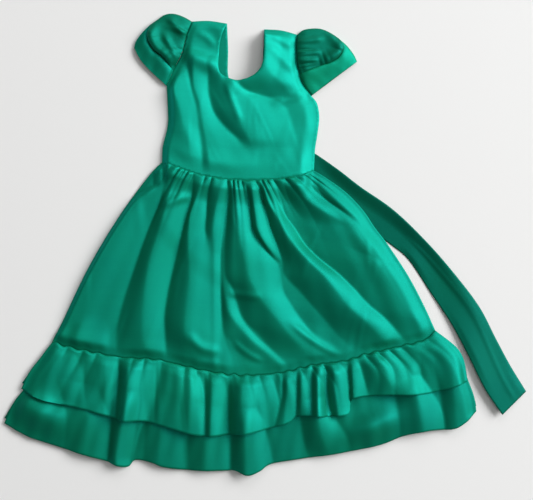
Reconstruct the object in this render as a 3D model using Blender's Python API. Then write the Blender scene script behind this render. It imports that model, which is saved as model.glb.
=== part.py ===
"""A child's taffeta party dress, laid flat and face up.

The dress has a fitted bodice with a deep U neck, puffed cap sleeves set into bands, a gathered
skirt, a double ruffle round the hem and two sash ties sewn into the side seams.

Tables are in millimetres, measured from the middle of the waist: x to the dress's right as it is
seen, y towards the neck. Blender's units are metres, +Z is up and the surface it lies on is z = 0.
Each panel is a wall of cloth over a height worked out from what lies under it, its puff, its
folds and its gathers, so that no panel reaches into the one below.
"""

import math

import bmesh
import bpy
import numpy as np
from mathutils import Vector
from mathutils.geometry import delaunay_2d_cdt

# Driving sizes, in millimetres
MM = 0.001
CLOTH = 1.5  # one wall of cloth
SEAM = 0.3  # gap where two pieces meet
CURVED_GAP = 0.6  # the same where the two sides of a curved seam have different points
LAYER = CLOTH + SEAM  # what one flat layer adds to the stack
STEEPEST = 1.6  # most that a slope thickens a wall upwards, as a multiple of the cloth
SASH_WIDTH = 60.0
TUBE_EDGE = 4.0  # height of a flattened sleeve at its two folds

# How many pieces of mesh each form gets
SKIRT_GATHERS = 20
RUFFLE_GATHERS = 24
COLUMNS_PER_GATHER = 4
BACK_COLUMNS = 2 * SKIRT_GATHERS
EDGE_STEP = 11.0  # millimetres between points along the bodice's outline

TAFFETA_GREEN = (0.006, 0.332, 0.205, 1.0)
TAFFETA_ROUGHNESS = 0.38
TAFFETA_METALLIC = 0.15

# Bodice outline
WAIST = [(-144, 25), (-110, 13), (-63, -2), (4, -10), (70, -8), (114, -2), (144, 8)]
SIDE_LEFT = [(-144, 25), (-142, 55), (-133, 93), (-133, 127), (-135, 169)]
SIDE_RIGHT = [(144, 8), (146, 48), (150, 74), (154, 108), (150, 135), (139, 150)]
ARMHOLE_LEFT = [(-87, 291), (-97, 264), (-106, 230), (-120, 203), (-135, 169)]
ARMHOLE_RIGHT = [(112, 266), (112, 230), (116, 196), (125, 169), (139, 150)]
SHOULDER_LEFT = [(-87, 291), (-55, 292), (-21, 287)]
SHOULDER_RIGHT = [(50, 276), (82, 274), (112, 266)]
NECK_FRONT = [(-21, 287), (-32, 260), (-36, 234), (-36, 198), (-24, 185), (-4, 178),
              (14, 180), (30, 187), (41, 197), (47, 211), (50, 232), (50, 276)]
NECK_BACK_LEFT = [(-21, 287), (-19, 238), (-19, 190), (-8, 168), (16, 160)]
NECK_BACK_RIGHT = [(16, 160), (37, 168), (46, 196), (48, 238), (50, 276)]
CENTRE_BACK = [(16, 160), (8, 60), (4, -10)]

# Sleeves: each is a flattened tube between its armhole and the seam of its band
SLEEVE_FOLD_LEFT = [(-87, 291), (-103, 300), (-122, 306), (-139, 304), (-154, 294), (-167, 285)]
SLEEVE_FOLD_RIGHT = [(112, 266), (124, 275), (141, 278), (158, 277), (175, 270), (190, 260)]
BAND_SEAM_LEFT = [(-167, 285), (-171, 260), (-160, 238), (-141, 222)]
BAND_SEAM_RIGHT = [(190, 260), (200, 241), (192, 224), (177, 213), (148, 203)]
BAND_FOLD_LEFT = [(-167, 285), (-182, 270), (-194, 253), (-197, 241)]
BAND_FOLD_RIGHT = [(190, 260), (207, 245), (220, 228), (226, 215)]
CUFF_LEFT = [(-197, 241), (-184, 217), (-163, 194), (-136, 168)]
CUFF_RIGHT = [(226, 215), (203, 198), (171, 175), (140, 149)]
PUFF_END_LEFT = 0.70  # how far down the armhole the puffed part reaches
PUFF_END_RIGHT = 0.56
UNDERARM_LENGTH = 0.06  # what the puffed part has left at the underarm, as a share of the armhole

# Skirt and ruffles
SKIRT_LEFT = [(-144, 25), (-167, 0), (-209, -55), (-241, -103), (-268, -148), (-293, -194),
              (-314, -238), (-334, -281), (-353, -317)]
SKIRT_RIGHT = [(144, 8), (167, -6), (203, -32), (236, -66), (260, -101), (283, -131),
               (323, -192), (355, -253), (374, -296)]
RUFFLE_SEAM = [(-353, -317), (-310, -329), (-276, -336), (-222, -346), (-158, -350), (-108, -361),
               (-59, -372), (4, -380), (76, -376), (142, -361), (203, -353), (236, -342),
               (279, -332), (317, -323), (352, -314), (374, -296)]
UPPER_LEFT = [(-353, -317), (-372, -344), (-395, -374), (-410, -405)]
UPPER_RIGHT = [(374, -296), (399, -314), (418, -332), (429, -355), (435, -391)]
UPPER_HEM = [(-410, -405), (-386, -418), (-353, -429), (-289, -443), (-222, -462), (-175, -466),
             (-125, -479), (-76, -492), (-27, -492), (38, -484), (95, -469), (114, -456),
             (162, -456), (196, -455), (210, -450), (214, -428), (224, -421), (279, -416),
             (352, -414), (393, -405), (435, -391)]
LOWER_LEFT = [(-350, -317), (-370, -353), (-400, -399), (-426, -433), (-443, -471)]
LOWER_RIGHT = [(371, -296), (398, -321), (421, -353), (437, -391), (448, -422), (452, -448)]
LOWER_HEM = [(-443, -471), (-397, -496), (-352, -511), (-304, -526), (-249, -542), (-224, -551),
             (-207, -552), (-194, -540), (-163, -545), (-141, -553), (-95, -559), (-27, -560),
             (-4, -560), (19, -568), (42, -560), (65, -547), (133, -536), (198, -526),
             (270, -511), (315, -494), (361, -484), (407, -481), (433, -467), (452, -448)]
BACK_HEM_RISE = 10.0  # how much shorter the ruffles of the back lie than those of the front

# Sash ties, edge by edge. The left one is folded under the back of the skirt.
SASH_RIGHT_OUTER = [(140, 42), (150, 38), (192, 8), (232, -23), (296, -68), (359, -129),
                    (412, -190), (458, -251), (490, -312), (517, -362), (547, -411)]
SASH_RIGHT_INNER = [(140, 12), (158, -22), (188, -52), (222, -80), (255, -107), (294, -135),
                    (325, -162), (365, -222), (405, -283), (437, -344), (467, -405), (500, -454)]
SASH_RIGHT_UNDER_SKIRT = [(140, 28), (176, -6), (214, -38), (256, -74), (295, -104)]
SASH_LEFT_OUTER = [(-137, 15), (-136, -20), (-113, -80), (-63, -135), (0, -178), (75, -212),
                   (160, -238), (300, -262)]
SASH_LEFT_INNER = [(-137, 50), (-85, -2), (-62, -50), (-24, -90), (28, -125), (92, -155),
                   (170, -179), (306, -202)]
SASH_LEFT_MIDDLE = [(-137, 34), (-112, -8), (-88, -65), (-43, -112), (14, -152), (84, -184),
                    (165, -208), (303, -232)]
NECK_RISE = 10.0  # how much the front's cloth stands up along its neck edge
NECK_REACH = 34.0
PUFF = 4.0  # how far the front stands off the back where it has no fold
WAIST_LIFT = 8.0  # how much further the gathers hold it up at the waist
SASH_CLEARANCE = 20.0  # how far past the sash the cloth above it stays raised
SASH_SLOPE = 34.0  # over which it comes down to the surface again

# Folds: a row for each station down a fold, in millimetres. FOLD_COLUMNS names the columns: how far
# down the station is, where the fold starts, crests and ends from left to right, and its height.
FOLD_COLUMNS = ("down", "start", "crest", "end", "height")
BODICE_FOLDS = [
    [(-205, -112, -96, -70, 0), (-169, -133, -122, -66, 10), (-131, -134, -112, -56, 11),
     (-93, -136, -102, -48, 11), (-55, -142, -90, -42, 10), (-10, -116, -84, -38, 3)],
    [(-235, -95, -78, -46, 0), (-205, -95, -84, -48, 7), (-169, -91, -84, -54, 7),
     (-131, -84, -72, -46, 7), (-93, -80, -66, -16, 8), (-55, -76, -58, 44, 9), (-30, -72, -54, 66, 7), (-5, -70, -52, 80, 5)],
    [(-228, -68, -44, -34, 0), (-209, -64, -40, -24, 6), (-190, -58, -34, -14, 10),
     (-161, -57, -19, 20, 12), (-142, -54, -14, 70, 13), (-123, -50, -9, 96, 14),
     (-104, -38, 1, 104, 14), (-85, -23, 12, 112, 13), (-66, -6, 22, 118, 11),
     (-50, -24, 28, 122, 9), (-30, -50, 34, 124, 7), (-5, -60, 34, 124, 5)],
    [(-250, 38, 48, 108, 9), (-215, 30, 50, 112, 12), (-192, -8, 60, 116, 13), (-174, -12, 80, 120, 12),
     (-158, -10, 92, 122, 6), (-146, 0, 98, 122, 0)],
    [(-160, 90, 126, 158, 1), (-120, 90, 128, 162, 1.5), (-60, 88, 128, 160, 1.5), (-5, 90, 124, 152, 1)],
]
SKIRT_FOLDS = [
    [(20, -160, -146, -124, 5), (48, -214, -190, -142, 10), (82, -254, -222, -154, 13),
     (133, -300, -260, -172, 14), (184, -334, -290, -190, 13), (234, -360, -312, -212, 11),
     (290, -382, -334, -230, 7)],
    [(225, -300, -268, -236, 0), (262, -316, -284, -236, 4), (290, -326, -298, -240, 9),
     (320, -336, -304, -240, 10), (345, -345, -300, -245, 3)],
    [(10, -150, -118, -84, 5), (48, -148, -132, -89, 12), (105, -172, -148, -102, 14),
     (171, -196, -168, -120, 15), (247, -220, -178, -134, 14), (304, -230, -180, -136, 12),
     (350, -226, -166, -136, 5)],
    [(10, -84, -66, -52, 4), (48, -88, -80, -60, 8), (76, -96, -90, -56, 9), (105, -105, -93, -48, 10),
     (133, -112, -93, -30, 13), (190, -126, -91, -34, 16), (257, -140, -98, -31, 17),
     (304, -138, -98, -26, 17), (350, -134, -76, -10, 6)],
    [(19, -58, -30, -15, 5), (48, -57, -38, -17, 9), (76, -60, -44, -23, 10), (105, -66, -47, -25, 10),
     (150, -70, -46, -30, 6)],
    [(10, -15, -3, 14, 6), (48, -17, -4, 22, 11), (105, -25, 2, 30, 13), (133, -29, 6, 50, 14),
     (162, -30, 14, 74, 15), (190, -28, 20, 82, 15), (219, -10, 34, 86, 15), (247, 0, 52, 102, 15),
     (276, 12, 76, 122, 14), (304, 40, 98, 144, 12), (350, 76, 140, 190, 2)],
    [(14, 14, 26, 40, 6), (48, 22, 29, 48, 9), (76, 24, 33, 56, 10), (105, 29, 38, 64, 11),
     (133, 46, 53, 75, 9), (165, 70, 77, 85, 0)],
    [(10, 40, 48, 66, 6), (48, 48, 56, 82, 10), (76, 55, 72, 90, 13), (105, 63, 87, 110, 16),
     (133, 74, 106, 128, 17), (162, 84, 132, 158, 18), (190, 89, 160, 194, 18),
     (219, 116, 184, 224, 17), (247, 140, 206, 250, 16), (276, 166, 239, 284, 14),
     (304, 190, 266, 310, 10), (330, 216, 288, 328, 2)],
    [(8, 84, 106, 128, 7), (32, 92, 118, 148, 10), (48, 98, 130, 168, 11), (70, 108, 162, 210, 11),
     (92, 120, 200, 250, 8), (112, 140, 224, 268, 0)],
    [(25, 150, 166, 206, 5), (48, 168, 190, 226, 8), (76, 200, 218, 254, 9), (105, 226, 240, 270, 5),
     (130, 244, 254, 280, 0)],
    [(50, 92, 170, 236, 0), (76, 98, 196, 256, 5), (105, 110, 218, 280, 11), (133, 126, 238, 306, 13),
     (162, 156, 258, 322, 12), (190, 190, 278, 342, 11),
     (219, 220, 296, 358, 9), (247, 248, 314, 372, 8), (276, 282, 336, 388, 8), (310, 308, 352, 392, 3)],
    [(200, -36, -28, -8, 2), (238, -32, -22, -2, 5), (266, -30, -14, 6, 6), (304, -24, 16, 32, 6),
     (333, 8, 48, 66, 5), (360, 44, 80, 96, 3)],
]
# The ruffles' folds are placed by how far down they are from the ruffles' own seam
LOWER_RUFFLE_FOLDS = [
    [(60, -345, -300, -265, 2), (120, -325, -284, -240, 10), (190, -330, -290, -240, 9)],
    [(60, -235, -204, -186, 4), (100, -240, -214, -188, 13), (190, -246, -230, -204, 14)],
    [(60, -178, -152, -110, 3), (110, -174, -146, -104, 6), (190, -180, -150, -100, 7)],
    [(60, -100, -62, -24, 4), (110, -96, -61, -18, 9), (190, -96, -62, -14, 9)],
    [(60, -14, 14, 36, 5), (100, -14, 14, 52, 13), (190, -14, 14, 72, 14)],
    [(70, 50, 90, 122, 1), (130, 64, 84, 118, 2), (190, 68, 90, 130, 2)],
    [(60, 112, 150, 162, 4), (92, 118, 150, 176, 13), (140, 126, 160, 206, 12), (185, 140, 180, 216, 3)],
    [(60, 290, 330, 346, 4), (90, 298, 336, 364, 12), (145, 306, 346, 392, 13), (190, 308, 356, 398, 10)],
    [(60, 372, 404, 440, 3), (110, 384, 408, 446, 9), (190, 392, 416, 456, 9)],
]
# Places where the long ruffle swells out from under the short one's hem
PUFF_COLUMNS = ("across", "reach", "down", "rise", "fall", "height")
LOWER_RUFFLE_PUFFS = [
    (-372, 50, 132, 24, 34, 16),
    (252, 54, 130, 24, 32, 18),
]
UPPER_RUFFLE_FOLDS = [
    [(0, -356, -335, -310, 3), (45, -385, -352, -292, 7), (100, -408, -366, -292, 7)],
    [(0, -290, -250, -226, 5), (50, -291, -250, -225, 9), (120, -286, -252, -230, 8)],
    [(0, -224, -204, -154, 10), (50, -226, -207, -154, 15), (120, -230, -212, -158, 14)],
    [(0, -154, -92, -74, 6), (50, -158, -90, -64, 12), (120, -158, -98, -64, 10)],
    [(0, -64, -50, -24, 5), (50, -61, -50, -20, 9), (120, -60, -52, -18, 9)],
    [(0, -16, 8, 62, 12), (50, -18, 8, 78, 17), (120, -18, 12, 66, 14)],
    [(0, 66, 78, 86, 5), (60, 80, 84, 90, 0)],
    [(0, 84, 94, 112, 6), (50, 82, 92, 114, 7), (110, 66, 84, 108, 6)],
    [(0, 112, 120, 139, 6), (50, 112, 119, 139, 7), (100, 108, 118, 140, 6)],
    [(0, 141, 150, 166, 8), (50, 141, 150, 168, 9), (100, 141, 151, 170, 8)],
    [(0, 167, 180, 208, 8), (50, 170, 183, 211, 10), (100, 178, 190, 216, 9)],
    [(0, 209, 215, 228, 5), (50, 211, 217, 242, 8), (100, 214, 219, 250, 7)],
    [(0, 226, 250, 284, 7), (35, 236, 270, 316, 12), (80, 250, 298, 342, 12), (110, 262, 306, 350, 10)],
    [(0, 320, 352, 384, 3), (50, 346, 414, 436, 8), (100, 352, 422, 450, 7)],
]
# Short folds that cross the others: the crest, how far it spreads, and its height
CREST_COLUMNS = ("crest", "spread", "height")
BODICE_CRESTS = [
    ([(58, 130), (104, 147), (146, 160)], 9, 3.5),
    ([(56, 250), (80, 222), (110, 192)], 11, 4.0),
    ([(60, 262), (88, 250), (108, 242)], 8, 3.0),
    ([(-84, 270), (-62, 262), (-40, 240)], 7, 2.5),
    ([(-108, 236), (-72, 218), (-34, 200)], 14, 9.0),
    ([(-50, 300), (-28, 270), (-24, 232)], 15, 4.0),
    ([(-24, 176), (-8, 134), (8, 92)], 6, 2.5),
]
SKIRT_CRESTS = [
    ([(-26, -222), (14, -228), (50, -230)], 7, 3.0),
    ([(-98, -294), (-70, -326), (-26, -336)], 9, 4.0),
    ([(88, -270), (140, -312), (204, -350)], 7, 4.0),
    ([(-148, -62), (-112, -46), (-80, -38)], 8, 3.5),
    ([(-14, -312), (20, -340), (52, -356)], 6, 3.0),
]
SLEEVE_CRESTS_LEFT = [
    ([(-136, 302), (-112, 276), (-92, 254)], 7, 5.0),
    ([(-144, 272), (-127, 242), (-108, 210)], 7, 5.0),
    ([(-150, 302), (-166, 268), (-154, 238), (-112, 206)], 13, 9.0),
]
SLEEVE_CRESTS_RIGHT = [
    ([(100, 252), (134, 254), (168, 258)], 6, 4.0),
    ([(100, 229), (132, 229), (164, 232)], 5, 4.0),
    ([(100, 217), (130, 216), (158, 218)], 5, 3.5),
    ([(162, 284), (190, 256), (192, 230), (150, 206)], 13, 9.0),
]
CREST_POWER = 1.5  # 1 would give a fold a straight flank and a sharp crest, 2 gives a round one
ROUNDING = 1.15  # how softly a fold's flank runs into a valley


def smooth_step(value):
    """0 to 1 with no corner at either end."""
    t = np.clip(value, 0.0, 1.0)
    return t * t * (3.0 - 2.0 * t)


def curve(points, shares):
    """Points of a smooth curve through the given ones, at these shares of its length."""
    given = np.array(points, float)
    ends = np.vstack([2 * given[0] - given[1], given, 2 * given[-1] - given[-2]])
    t = np.linspace(0.0, 1.0, 17)[:-1, None]
    dense = []
    for a, b, c, d in zip(ends[:-3], ends[1:-2], ends[2:-1], ends[3:]):
        dense.append(0.5 * (2 * b + (c - a) * t + (2 * a - 5 * b + 4 * c - d) * t**2
                            + (3 * b - a - 3 * c + d) * t**3))
    dense = np.vstack([*dense, given[-1:]])
    steps = np.linalg.norm(np.diff(dense, axis=0), axis=1)
    length = np.concatenate([[0.0], np.cumsum(steps)])
    wanted = np.asarray(shares, float) * length[-1]
    return np.column_stack([np.interp(wanted, length, dense[:, i]) for i in (0, 1)])


def evenly(count):
    return np.linspace(0.0, 1.0, count + 1)


def part_of(points, first, last):
    """The stretch of a curve between two shares of its length, as nine points."""
    return [tuple(p) for p in curve(points, np.linspace(first, last, 9))]


def stepped(points):
    """Points along a curve about as far apart as EDGE_STEP."""
    length = np.linalg.norm(np.diff(curve(points, evenly(40)), axis=0), axis=1).sum()
    return curve(points, evenly(max(3, round(length / EDGE_STEP))))


def shifted(points, x=0.0, y=0.0):
    return [(px + x, py + y) for px, py in points]


def distance_to(xy, points, samples=60):
    """How far each place is from a curve, how far along that is, and which side: + is left."""
    line = curve(points, evenly(samples))
    tangent = np.gradient(line, axis=0)
    delta = xy[:, None, :] - line[None, :, :]
    far = np.hypot(delta[..., 0], delta[..., 1])
    nearest = far.argmin(axis=1)
    rows = np.arange(len(xy))
    t = tangent[nearest]
    d = delta[rows, nearest]
    side = t[:, 0] * d[:, 1] - t[:, 1] * d[:, 0]
    return far[rows, nearest], nearest / samples, side


def smooth_row(places, values, wanted):
    """A column of a table between its rows, as a smooth line through them."""
    line = curve(list(zip(places, values)), evenly(80))
    return np.interp(wanted, line[:, 0], line[:, 1])


def folds(x, down, table):
    """The height that a table of folds adds: rounded crests, with a sharp valley between two."""
    total = np.zeros(len(x))
    for rows in table:
        stations = dict(zip(FOLD_COLUMNS, zip(*rows)))
        start, crest, end, height = (smooth_row(stations["down"], stations[name], down)
                                     for name in FOLD_COLUMNS[1:])
        share = (x - crest) / np.where(x < crest, crest - start, end - crest)
        round_top = np.clip(1.0 - abs(share) ** CREST_POWER, 0.0, 1.0) ** ROUNDING
        total += (np.maximum(height, 0.0) * round_top) ** 4
    return total ** 0.25


def crests(xy, table):
    """The height that a table of short crossing folds adds."""
    total = np.zeros(len(xy))
    for row in table:
        crest = dict(zip(CREST_COLUMNS, row))
        far, along, _ = distance_to(xy, crest["crest"])
        ends = smooth_step(along / 0.3) * smooth_step((1.0 - along) / 0.3)
        total += crest["height"] * np.exp(-((far / crest["spread"]) ** 2)) * ends
    return total


def puffs(x, down, table):
    """The height that a table of swellings adds."""
    total = np.zeros(len(x))
    for row in table:
        puff = dict(zip(PUFF_COLUMNS, row))
        past = down - puff["down"]
        reach = np.where(past < 0, puff["rise"], puff["fall"])
        total += puff["height"] * np.exp(-((x - puff["across"]) / puff["reach"]) ** 2
                                         - (past / reach) ** 2)
    return total


def held_down(xy, *edges):
    """0 on each of these edges and 1 past the distance given with it."""
    mask = np.ones(len(xy))
    for points, reach in edges:
        far, _, _ = distance_to(xy, points)
        mask *= smooth_step(far / reach)
    return mask


def raised_by_sashes(xy):
    """How high the surface under the dress is, where a sash tie lies there."""
    height = np.zeros(len(xy))
    for middle in (SASH_RIGHT_UNDER_SKIRT, SASH_LEFT_MIDDLE):
        far, _, _ = distance_to(xy, middle)
        past = far - SASH_WIDTH / 2 - SASH_CLEARANCE
        height = np.maximum(height, LAYER * (1.0 - smooth_step(past / SASH_SLOPE)))
    return height


def grid(top, bottom, left, right, columns, rows):
    """A panel's plan between four edges: its points, its faces and each point's share across."""
    us = evenly(columns)
    vs = np.asarray(rows, float)
    t, b = curve(top, us), curve(bottom, us)
    l = curve([t[0], *left[1:-1], b[0]], vs)
    r = curve([t[-1], *right[1:-1], b[-1]], vs)
    u, v = us[None, :, None], vs[:, None, None]
    plan = ((1 - v) * t + v * b + (1 - u) * l[:, None] + u * r[:, None]
            - (1 - u) * (1 - v) * t[0] - u * (1 - v) * t[-1]
            - (1 - u) * v * b[0] - u * v * b[-1])
    faces = []
    wide = columns + 1
    for row in range(len(vs) - 1):
        for column in range(columns):
            first = row * wide + column
            faces.append((first, first + wide, first + wide + 1, first + 1))
    return plan.reshape(-1, 2), faces, np.tile(us, len(vs))


def filled(outline, pitch):
    """A panel's plan inside a closed outline: its points and its triangles."""
    low, high = outline.min(0), outline.max(0)
    xs = np.arange(low[0] + pitch / 2, high[0], pitch)
    ys = np.arange(low[1] + pitch / 2, high[1], pitch)
    inner = np.array([(x, y) for y in ys for x in xs])
    edge = np.linalg.norm(inner[:, None] - outline[None], axis=2).min(1)
    inner = inner[edge > pitch * 0.55]
    points = [Vector(p) for p in np.vstack([outline, inner])]
    ring = list(range(len(outline)))
    made = delaunay_2d_cdt(points, [], [ring], 1, 1e-4)
    return np.array([tuple(p) for p in made[0]]), [tuple(f) for f in made[2]]


def joined(*stretches):
    """One closed outline from stretches that follow on from each other."""
    return np.vstack([stretch[:-1] for stretch in stretches])


def slope_at(xy, height):
    """How steep a height is at each place."""
    step = 0.5
    along_x = (height(xy + [step, 0]) - height(xy - [step, 0])) / (2 * step)
    along_y = (height(xy + [0, step]) - height(xy - [0, step])) / (2 * step)
    return np.hypot(along_x, along_y)


def upright(slopes, cloth):
    """The height of a wall whose thickness across its slope is the cloth's."""
    return cloth * np.minimum(np.sqrt(1.0 + slopes**2), STEEPEST)


def taffeta(name):
    material = bpy.data.materials.new(name)
    material.use_nodes = True
    shader = material.node_tree.nodes["Principled BSDF"]
    shader.inputs["Base Color"].default_value = TAFFETA_GREEN
    shader.inputs["Roughness"].default_value = TAFFETA_ROUGHNESS
    shader.inputs["Metallic"].default_value = TAFFETA_METALLIC
    material.diffuse_color = TAFFETA_GREEN
    return material


def add_object(name, points, faces):
    """One named solid, from points in millimetres."""
    mesh = bpy.data.meshes.new(name)
    mesh.from_pydata([tuple(p) for p in np.asarray(points) * MM], [], faces)
    body = bmesh.new()
    body.from_mesh(mesh)
    bmesh.ops.recalc_face_normals(body, faces=body.faces)
    body.to_mesh(mesh)
    body.free()
    mesh.shade_smooth()
    mesh.set_sharp_from_angle(angle=math.radians(50))
    made = bpy.data.objects.new(name, mesh)
    bpy.context.scene.collection.objects.link(made)
    mesh.materials.append(taffeta(name + "_taffeta"))
    return made


def wall(name, plan, faces, lower, upper):
    """A closed wall of cloth between two heights over one plan."""
    count = len(plan)
    points = np.vstack([np.column_stack([plan, upper]), np.column_stack([plan, lower])])
    above = [tuple(f) for f in faces]
    below = [tuple(count + i for i in reversed(f)) for f in faces]
    ways = set()
    for face in faces:
        ways.update(zip(face, face[1:] + face[:1]))
    rim = [(b, a, count + a, count + b) for a, b in sorted(ways) if (b, a) not in ways]
    return add_object(name, points, above + below + rim)


def panel(name, plan, faces, lower, slopes=None, cloth=CLOTH):
    """A wall of cloth whose underside is at this height."""
    thickness = cloth if slopes is None else upright(slopes, cloth)
    return wall(name, plan, faces, lower, lower + thickness)


def bodice_height(xy):
    """The underside of the bodice's front: on the back at its edges and puffed between them."""
    mask = held_down(xy, (SIDE_LEFT, 14), (SIDE_RIGHT, 28), (ARMHOLE_LEFT, 14),
                     (ARMHOLE_RIGHT, 14), (SHOULDER_LEFT, 14), (SHOULDER_RIGHT, 14))
    from_waist, _, _ = distance_to(xy, WAIST)
    above_waist = smooth_step(from_waist / 32)
    at_waist = WAIST_LIFT * (1.0 - smooth_step(from_waist / 60))
    below_neck = distance_to(xy, NECK_FRONT)[0] / NECK_REACH
    rise = NECK_RISE * (1.0 - smooth_step(below_neck)) * smooth_step((xy[:, 0] + 30) / 24)
    own = folds(xy[:, 0], -xy[:, 1], BODICE_FOLDS) + crests(xy, BODICE_CRESTS)
    return raised_by_sashes(xy) + LAYER + mask * (PUFF + at_waist + above_waist * (rise + own))


def build_bodice():
    waist = curve(WAIST, evenly(BACK_COLUMNS))
    left = [stepped(SIDE_LEFT), stepped(ARMHOLE_LEFT)[::-1], stepped(SHOULDER_LEFT)]
    right = [stepped(SHOULDER_RIGHT), stepped(ARMHOLE_RIGHT), stepped(SIDE_RIGHT)[::-1]]
    front = joined(*left, stepped(NECK_FRONT), *right, waist[::-1])
    plan, faces = filled(front, 14.0)
    panel("bodice_front", plan, faces, bodice_height(plan), slope_at(plan, bodice_height))

    middle = int(np.argmin(abs(waist[:, 0] - CENTRE_BACK[-1][0])))
    centre = curve([*CENTRE_BACK[:-1], waist[middle]], evenly(10))
    half_gap = np.array([SEAM / 2, 0.0])
    back_left = joined(*left, stepped(NECK_BACK_LEFT), centre - half_gap,
                       waist[: middle + 1][::-1] - half_gap)
    back_right = joined(centre[::-1] + half_gap, stepped(NECK_BACK_RIGHT) + half_gap, *right,
                        waist[middle:][::-1])
    for name, outline in (("bodice_back_left", back_left), ("bodice_back_right", back_right)):
        plan, faces = filled(outline, 24.0)
        panel(name, plan, faces, raised_by_sashes(plan))


def skirt_height(xy, across):
    """The underside of the skirt's front, with the waist's gathers fading down it."""
    from_waist, _, _ = distance_to(xy, WAIST)
    from_seam, _, _ = distance_to(xy, RUFFLE_SEAM)
    sides = held_down(xy, (SKIRT_LEFT, 10), (SKIRT_RIGHT, 28))
    ends = smooth_step(from_waist / 20) * smooth_step(from_seam / 20)
    gather = 0.5 - 0.5 * np.cos(2 * math.pi * SKIRT_GATHERS * across)
    gathers = 3.4 * gather * np.exp(-from_waist / 42) * smooth_step(sides * 2)
    to_ruffles = 2.7 * (1.0 - smooth_step(from_seam / 45))
    at_waist = smooth_step((xy[:, 0] + 144) / 14) * smooth_step((144 - xy[:, 0]) / 20)
    at_waist *= (PUFF + WAIST_LIFT) * (1.0 - smooth_step(from_waist / 50))
    own = folds(xy[:, 0], -xy[:, 1], SKIRT_FOLDS) + crests(xy, SKIRT_CRESTS)
    return (raised_by_sashes(xy) + LAYER + to_ruffles + at_waist + gathers
            + sides * ends * (2.0 + own))


def build_skirt():
    columns = SKIRT_GATHERS * COLUMNS_PER_GATHER
    top = shifted(WAIST, y=-SEAM)
    rows = evenly(13) ** 1.2
    plan, faces, across = grid(top, RUFFLE_SEAM, SKIRT_LEFT, SKIRT_RIGHT, columns, rows)

    def height(xy):
        return skirt_height(xy, across)

    panel("skirt_front", plan, faces, height(plan), slope_at(plan, height))
    plan, faces, _ = grid(top, RUFFLE_SEAM, SKIRT_LEFT, SKIRT_RIGHT, BACK_COLUMNS, evenly(14))
    panel("skirt_back", plan, faces, raised_by_sashes(plan))


def lower_ruffle_height(xy, across):
    """The underside of the front's long ruffle, over both ruffles of the back."""
    from_seam, _, _ = distance_to(xy, RUFFLE_SEAM)
    sides = held_down(xy, (LOWER_LEFT, 24), (LOWER_RIGHT, 22))
    falling = smooth_step(from_seam / 60)
    wave = 0.5 - 0.5 * np.cos(2 * math.pi * RUFFLE_GATHERS / 2 * across)
    own = folds(xy[:, 0], from_seam, LOWER_RUFFLE_FOLDS)
    own += puffs(xy[:, 0], from_seam, LOWER_RUFFLE_PUFFS)
    return 2 * LAYER + sides * falling * (1.0 + 0.6 * wave + own)


def build_ruffles():
    top = shifted(RUFFLE_SEAM, y=-CURVED_GAP)
    back_lower_hem = shifted(LOWER_HEM, y=BACK_HEM_RISE)
    back_upper_hem = shifted(UPPER_HEM, y=BACK_HEM_RISE)
    plan, faces, _ = grid(top, back_upper_hem, UPPER_LEFT[:-1] + back_upper_hem[:1],
                          UPPER_RIGHT[:-1] + back_upper_hem[-1:], BACK_COLUMNS, evenly(2))
    panel("ruffle_upper_back", plan, faces, np.zeros(len(plan)))
    plan, faces, _ = grid(top, back_lower_hem, LOWER_LEFT[:-1] + back_lower_hem[:1],
                          LOWER_RIGHT[:-1] + back_lower_hem[-1:], BACK_COLUMNS, evenly(3))
    panel("ruffle_lower_back", plan, faces, np.full(len(plan), LAYER))

    lower_plan, lower_faces, lower_across = grid(top, LOWER_HEM, LOWER_LEFT, LOWER_RIGHT,
                                                 72, evenly(6))

    def lower_height(xy):
        return lower_ruffle_height(xy, lower_across)

    lower = lower_height(lower_plan)
    lower_slopes = slope_at(lower_plan, lower_height)
    panel("ruffle_lower_front", lower_plan, lower_faces, lower, lower_slopes)

    columns = RUFFLE_GATHERS * COLUMNS_PER_GATHER
    plan, faces, across = grid(top, UPPER_HEM, UPPER_LEFT, UPPER_RIGHT, columns, evenly(4))

    def height(xy):
        from_seam, _, _ = distance_to(xy, RUFFLE_SEAM)
        sides = held_down(xy, (UPPER_LEFT, 20), (UPPER_RIGHT, 18))
        gather = 0.5 - 0.5 * np.cos(2 * math.pi * RUFFLE_GATHERS * across)
        gathers = 3.2 * gather * np.exp(-from_seam / 40)
        falling = smooth_step(from_seam / 24 + 0.15)
        own = sides * (0.8 + gathers + falling * folds(xy[:, 0], from_seam, UPPER_RUFFLE_FOLDS))
        below = lower_ruffle_height(xy, across)
        steep = slope_at(xy, lambda place: lower_ruffle_height(place, across))
        return below + upright(steep, CLOTH) + SEAM + 0.9 * falling + own

    panel("ruffle_upper_front", plan, faces, height(plan), slope_at(plan, height))


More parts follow.
